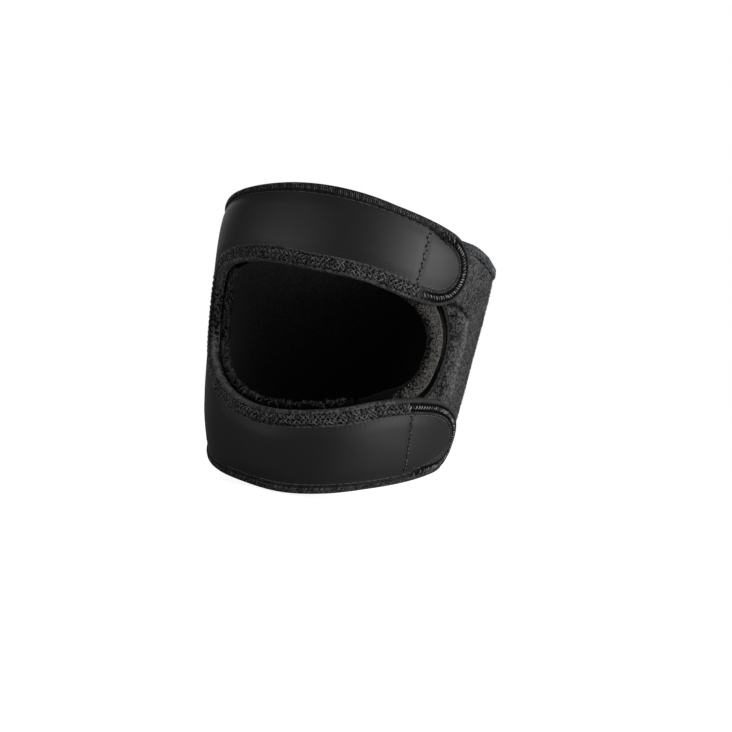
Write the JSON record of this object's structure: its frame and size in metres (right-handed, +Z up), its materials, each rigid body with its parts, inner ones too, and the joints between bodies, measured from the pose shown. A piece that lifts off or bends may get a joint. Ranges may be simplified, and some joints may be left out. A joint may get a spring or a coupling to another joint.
{
  "type": "patella strap",
  "caption": "Wrap-around knee support with an open kneecap, a strap above and a strap below it, fastened at one side with hook patches on a loop-faced wrap.",
  "frame": {"origin": "on the leg's axis at the height of the middle of the kneecap, where the knee sits in the strap", "axes": "+Z up the leg, -Y to the front of the knee, +X to the side that the straps fasten on"},
  "size_m": [0.1298, 0.1399, 0.1404],
  "materials": {
    "smooth_cloth": "smooth semi-matt black cloth on foam rubber",
    "loop_cloth": "fuzzy loop cloth, charcoal with light and dark flecks",
    "edge_tape": "ribbed binding tape, blue-black",
    "opening_tape": "stitched binding tape, dark grey with rows of cover stitch",
    "hook": "moulded hook tape, black",
    "lining": "matt black lining"
  },
  "bodies": {
    "root": {"front_cloth": "smooth_cloth", "upper_edge_tape": "edge_tape", "lower_edge_tape": "edge_tape", "opening_tape": "opening_tape", "bridge": "opening_tape", "wrap": "loop_cloth", "wrap_top_tape": "edge_tape", "wrap_bottom_tape": "edge_tape", "wrap_end_tape": "edge_tape", "upper_hook": "hook", "lower_hook": "hook", "kneecap_pad": "lining"}
  },
  "joints": []
}
